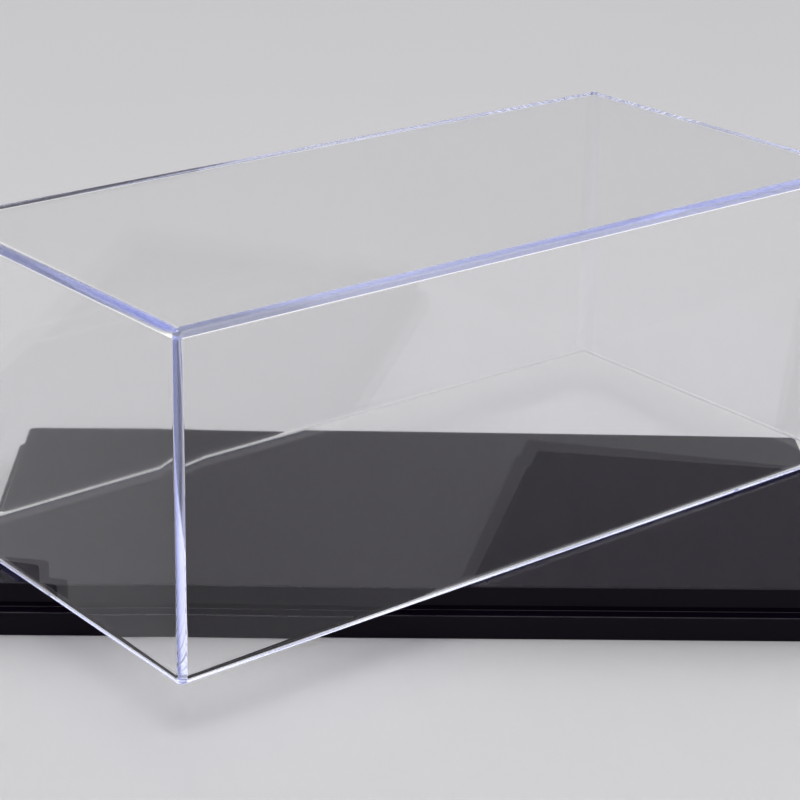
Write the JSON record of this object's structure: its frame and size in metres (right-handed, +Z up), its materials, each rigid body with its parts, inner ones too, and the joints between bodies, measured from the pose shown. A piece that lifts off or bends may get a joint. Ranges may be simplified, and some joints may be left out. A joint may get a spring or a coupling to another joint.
{
  "type": "display case",
  "caption": "Rectangular display case for a small scale model: a clear lift-off cover on a glossy black two-step base.",
  "frame": {"origin": "middle of the base's underside, on the crossing of its ribs, in the plane it stands on", "axes": "+X along the base's long side, +Y across it away from the viewer, +Z up through the cover"},
  "size_m": [0.1718, 0.1578, 0.0691],
  "materials": {
    "black_plastic": "black polystyrene, moulded to a polished gloss",
    "clear_plastic": "crystal-clear polystyrene, polished on both sides"
  },
  "bodies": {
    "base": {"base": "black_plastic"},
    "cover": {"clear_cover": "clear_plastic"}
  },
  "joints": [
    {"name": "cover_lift", "type": "slide", "parent": "base", "child": "cover", "axis": [0, 0, 1], "range_m": [0, 0.07]}
  ]
}
